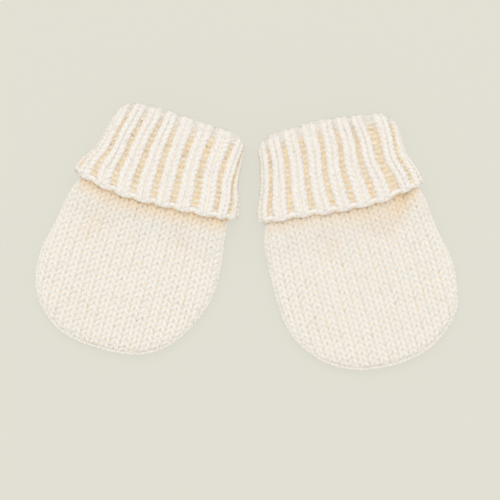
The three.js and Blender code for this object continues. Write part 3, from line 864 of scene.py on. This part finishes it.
def hand_grid(samples):
    """Grid of places across and down a hand panel laid out flat, with its rim on the seam."""
    places, inward = samples["at"], samples["inward"]
    _, high, reach, _ = hand_form(places[:, 1])
    rim = places - inward * (edge_walk(high, reach) - reach)[:, None]
    share = np.linspace(0, 1, len(rim))

    def on_edge(at):
        return np.stack([np.interp(at, share, rim[:, k]) for k in (0, 1)], axis=-1)

    first, last = BODY_GRID["corners"]
    down = np.linspace(0, 1, BODY_GRID["down"])
    down = down + BODY_GRID["to_tip"] * np.sin(math.pi * down) / math.pi
    across = np.linspace(0, 1, BODY_GRID["across"])
    across = across - BODY_GRID["to_sides"] * np.sin(2 * math.pi * across) / (2 * math.pi)
    left, right = on_edge(first * down), on_edge(1 - (1 - last) * down)
    tip = on_edge(first + (last - first) * across)
    start, end, near, far = (on_edge(np.array([at])) for at in (0.0, 1.0, first, last))
    opening = start + (end - start) * across[:, None]
    down, across = down[:, None, None], across[None, :, None]
    sides = left[:, None] * (1 - across) + right[:, None] * across
    ends = opening[None] * (1 - down) + tip[None] * down
    at_opening = start * (1 - across) + end * across
    at_tip = near * (1 - across) + far * across
    corners = at_opening * (1 - down) + at_tip * down
    grid = sides + ends - corners
    return grid[..., 0], grid[..., 1]


def hand_backing(mitten, samples, side):
    """Thin shell under the yarn of one panel, in the form of its solid."""
    x, along = hand_grid(samples)
    edge = hand_edge(samples, x, along)
    inner_depth = BODY_WALL - (trough_depth(mitten, x, along) if side > 0 else 0)
    outer = hand_cloth(mitten, edge, side, x, along, BODY_BACKING["depth"])
    inner = hand_cloth(mitten, edge, side, x, along, inner_depth)
    # The backing looks deep, for full painted warm shade, and takes the painted shade of the front
    look = np.full_like(x, BODY_BACKING["look"])
    return shell(outer, inner, look, fold_shade(mitten, side, x, along), False, side < 0)


def cuff_backing(mitten):
    """Thin folded shell under the yarn of the cuff, sunk a little in its grooves."""
    over = CUFF_ROWS + FOLD_ROWS
    inside = (CUFF_JOIN_ALONG - SEAM_GAP / 2 + CUFF_GRID["overlap"] - CUFF_DEPTH / 2) / ROW
    rows = np.r_[
        CUFF_GRID["first_row"],
        np.linspace(1, CUFF_ROWS, CUFF_GRID["above"]),
        np.linspace(CUFF_ROWS, over, CUFF_GRID["fold"])[1:],
        np.linspace(over, over + inside, CUFF_GRID["inside"])[1:],
    ]
    columns = RIBS_AROUND * CUFF_GRID["columns"]
    rib, row = np.meshgrid(np.arange(columns) / columns * RIBS_AROUND, rows)
    turn = rib_turn(mitten, rib, row)
    groove = rib_groove(mitten, rib, row) * over_fold(row, OVER_FOLD["grooves"])
    on_rib = CUFF_BACKING["rib"] * over_fold(row, CUFF_BACKING["fold"] / CUFF_BACKING["rib"])
    depth = on_rib + (CUFF_BACKING["groove"] - on_rib) * groove
    outer = cuff_cloth(mitten, turn, row, depth)
    inner = cuff_cloth(mitten, turn, row, np.full_like(turn, CUFF_WALL - CUFF_BACKING["clear"]))
    # The cuff's backing takes painted warm shade, and painted shade in its grooves
    return shell(outer, inner, depth + WARM_SHADE["rib"], CUFF_BACKING["shade"] * groove, True, True)


# Materials

def new_material(name, sockets):
    """A material with its shader's sockets set, its node tree and its shader."""
    material = bpy.data.materials.new(name)
    material.use_nodes = True
    shader = material.node_tree.nodes["Principled BSDF"]
    for socket, value in sockets.items():
        shader.inputs[socket].default_value = value
    return material, material.node_tree, shader


def node_of(tree, kind, values=None, **settings):
    """A shader node with its settings, and its inputs' values by name or number."""
    node = tree.nodes.new(kind)
    for key, value in settings.items():
        setattr(node, key, value)
    for key, value in (values or {}).items():
        node.inputs[key].default_value = value
    return node


def noise(tree, look):
    """Noise through the object, from 0 to 1."""
    place = node_of(tree, "ShaderNodeTexCoord").outputs["Object"]
    node = node_of(tree, "ShaderNodeTexNoise", {"Scale": look["scale"], "Detail": look["detail"]})
    tree.links.new(place, node.inputs["Vector"])
    return node.outputs["Fac"]


def mixed(tree, share, first, second):
    """Colour between two colours, of which the first may come from another node."""
    node = node_of(tree, "ShaderNodeMix", {"B": (*second, 1)}, data_type="RGBA")
    tree.links.new(share, node.inputs["Factor"])
    if isinstance(first, tuple):
        node.inputs["A"].default_value = (*first, 1)
    else:
        tree.links.new(first, node.inputs["A"])
    return node.outputs["Result"]


def bumped(tree, height, look, under=None):
    """Normals from a height, on top of other normals where there are any."""
    node = node_of(tree, "ShaderNodeBump", {"Strength": look["strength"], "Distance": look["height"]})
    tree.links.new(height, node.inputs["Height"])
    if under:
        tree.links.new(under, node.inputs["Normal"])
    return node.outputs["Normal"]


def yarn_colour(tree, pale):
    """Pale wool that varies a little, with painted warm shade where the yarn dips into the cloth, and
    its painted shade.
    """
    link = tree.links.new
    depth = node_of(tree, "ShaderNodeAttribute", attribute_name="depth_shade")
    patchy = node_of(tree, "ShaderNodeMath", {1: TONE["patches"]}, operation="MULTIPLY_ADD")
    link(noise(tree, TONE), patchy.inputs[0])
    link(depth.outputs["Fac"], patchy.inputs[2])
    low, high = PAINTED_WARMTH_DEPTHS
    between = {"From Min": low, "From Max": high}
    share = node_of(tree, "ShaderNodeMapRange", between, interpolation_type="SMOOTHSTEP")
    link(patchy.outputs[0], share.inputs["Value"])
    warm_shaded = mixed(tree, share.outputs["Result"], pale, DEEP_SHADE)
    fold_shading = node_of(tree, "ShaderNodeAttribute", attribute_name="fold_shade")
    return mixed(tree, fold_shading.outputs["Fac"], warm_shaded, SHADE)


def ply_ridges(tree):
    """Height of the plies that wind round the yarn."""
    link = tree.links.new
    yarn = node_of(tree, "ShaderNodeAttribute", attribute_name="yarn_place")
    parts = node_of(tree, "ShaderNodeSeparateXYZ")
    link(yarn.outputs["Vector"], parts.inputs[0])
    around = node_of(tree, "ShaderNodeMath", operation="ARCTAN2")
    link(parts.outputs["Y"], around.inputs[0])
    link(parts.outputs["X"], around.inputs[1])
    plies = node_of(tree, "ShaderNodeMath", {1: float(PLIES["count"])}, operation="MULTIPLY")
    link(around.outputs[0], plies.inputs[0])
    per_mm = 2 * math.pi * PLIES["count"] / PLIES["turn"]
    twist = node_of(tree, "ShaderNodeMath", {1: per_mm}, operation="MULTIPLY_ADD")
    link(parts.outputs["Z"], twist.inputs[0])
    link(plies.outputs[0], twist.inputs[2])
    ridges = node_of(tree, "ShaderNodeMath", operation="SINE")
    link(twist.outputs[0], ridges.inputs[0])
    return ridges.outputs[0]


def wool(name, pale):
    """Soft matt wool yarn with the ridges of its plies and the nap of short fibres as bump."""
    material, tree, shader = new_material(name, {**MATT, **SOFT})
    plies = bumped(tree, ply_ridges(tree), PLIES)
    nap = bumped(tree, noise(tree, NAP), NAP, plies)
    tree.links.new(yarn_colour(tree, pale), shader.inputs["Base Color"])
    tree.links.new(nap, shader.inputs["Normal"])
    return material


def loose_wool():
    """Matt wool of the loose fibres, paler and warmer in patches."""
    material, tree, shader = new_material("loose_wool", MATT)
    colour = mixed(tree, noise(tree, TONE), LOOSE["pale"], LOOSE["warm"])
    tree.links.new(colour, shader.inputs["Base Color"])
    return material


def floor_material():
    """Pale floor that mostly glows with its own colour, so that it stays even."""
    colour, glow = FLOOR["colour"], FLOOR["glow"]
    sockets = {
        "Base Color": (*(c * (1 - glow) / FLOOR["lit"] for c in colour), 1),
        "Emission Color": (*colour, 1),
        "Emission Strength": glow,
        "Roughness": 1.0,
        "Specular IOR Level": 0.0,
    }
    return new_material("pale_floor", sockets)[0]


# Pieces of one mitten

def add_piece(name, shape, material, node=None):
    """A piece that rides on the only body, and stands for a CAD node where one is named."""
    piece = mesh_object(name, *shape, material)
    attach(piece, "root")
    if node:
        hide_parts(node)
    return piece


def panel_size(mitten):
    """Width and length that a hand panel is cut from, and its flat area, in metres."""
    rows = mitten["outline"]
    along = np.linspace(rows[0]["along"], rows[-1]["along"], AREA_STEPS)
    width = look_up(rows, "along", "left", along) + look_up(rows, "along", "right", along)
    area = float(((width[1:] + width[:-1]) / 2 * np.diff(along)).sum())
    area += TIP_FILL * width[-1] * (mitten["tip"][1] - along[-1])
    length = mitten["tip"][1] - rows[0]["along"]
    return (float(width.max()) * MM, length * MM), area * MM * MM


def add_panel(mitten, panel, samples, wools, random):
    """Stitches, seam cord, loose fibres and backing of one hand panel."""
    name = f"{mitten['name']}_{panel}"
    side = 1 if panel == "front" else -1
    detail = BODY_DETAIL[panel]
    yarn = hand_knit(mitten, samples, side, detail, random)
    stitches = add_piece(f"{name}_stitches", yarn, wools["knit"])
    cord = seam_cord(mitten, samples, side, random)
    cord = add_piece(f"{name}_seam", cord, wools["knit"])
    fibres = fuzz(yarn, detail["sides"], FIBRES[panel], random)
    fibres = add_piece(f"{name}_fuzz", fibres, wools["loose"])
    cloth = hand_backing(mitten, samples, side)
    cloth = add_piece(f"{name}_backing", cloth, wools["knit"], f"{name}_panel")
    flat, area = panel_size(mitten)


def add_cuff(mitten, wools, random):
    """Stitches, loose fibres, cast-on edge and backing of the cuff."""
    name = f"{mitten['name']}_cuff"
    ribbing = wools["ribbing"]
    yarn = cuff_knit(mitten, random)
    stitches = add_piece(f"{name}_stitches", yarn, ribbing)
    fibres = fuzz(yarn, CUFF_DETAIL["sides"], FIBRES["cuff"], random)
    fibres = add_piece(f"{name}_fuzz", fibres, wools["loose"])
    edge = add_piece(f"{name}_edge", cast_on(mitten, random), ribbing)
    cloth = add_piece(f"{name}_backing", cuff_backing(mitten), ribbing, name)


def add_mittens():
    wools = {kind: wool(f"cream_{kind}", PALE[kind]) for kind in ("knit", "ribbing")}
    wools["loose"] = loose_wool()
    for seed, mitten in enumerate(MITTENS, SEED):
        random = np.random.default_rng(seed)
        samples = outline_samples(mitten)
        for panel in ("front", "back"):
            add_panel(mitten, panel, samples, wools, random)
        add_cuff(mitten, wools, random)


# Stage, light and camera

def add_stage():
    half = FLOOR["half_side"]
    mesh = bpy.data.meshes.new("floor")
    corners = [(-half, -half, 0), (half, -half, 0), (half, half, 0), (-half, half, 0)]
    mesh.from_pydata(corners, [], [(0, 1, 2, 3)])
    mesh.materials.append(floor_material())
    floor = bpy.data.objects.new("floor", mesh)
    bpy.context.scene.collection.objects.link(floor)


def add_key_light():
    """A large round lamp high up beyond the cuffs, aimed at the middle of the pair."""
    data = bpy.data.lights.new("key", "AREA")
    data.shape = "DISK"
    data.size = KEY_LIGHT["size"]
    data.energy = KEY_LIGHT["power"]
    data.color = KEY_LIGHT["colour"]
    lamp = bpy.data.objects.new("key", data)
    lamp.location = KEY_LIGHT["place"]
    lamp.rotation_euler = (-Vector(KEY_LIGHT["place"])).to_track_quat("-Z", "Y").to_euler()
    bpy.context.scene.collection.objects.link(lamp)


def add_room_light():
    world = bpy.data.worlds.new("soft_room")
    world.use_nodes = True
    background = world.node_tree.nodes["Background"]
    background.inputs["Color"].default_value = (*ROOM_LIGHT["colour"], 1)
    background.inputs["Strength"].default_value = ROOM_LIGHT["strength"]
    bpy.context.scene.world = world


def add_camera():
    """A camera straight above, whose frame is the photograph's at the height of the scale."""
    data = bpy.data.cameras.new("camera")
    data.sensor_width = SENSOR
    data.lens = SENSOR * (CAMERA_HEIGHT - SCALE_HEIGHT) / (PHOTO_PIXELS * MM_PER_PIXEL)
    camera = bpy.data.objects.new("camera", data)
    camera.location = (PHOTO_CENTRE[0] * MM, PHOTO_CENTRE[1] * MM, CAMERA_HEIGHT * MM)
    bpy.context.scene.collection.objects.link(camera)
    bpy.context.scene.camera = camera


add_camera()
add_room_light()
add_key_light()
add_stage()
add_mittens()
bpy.context.scene.view_settings.view_transform = "Standard"
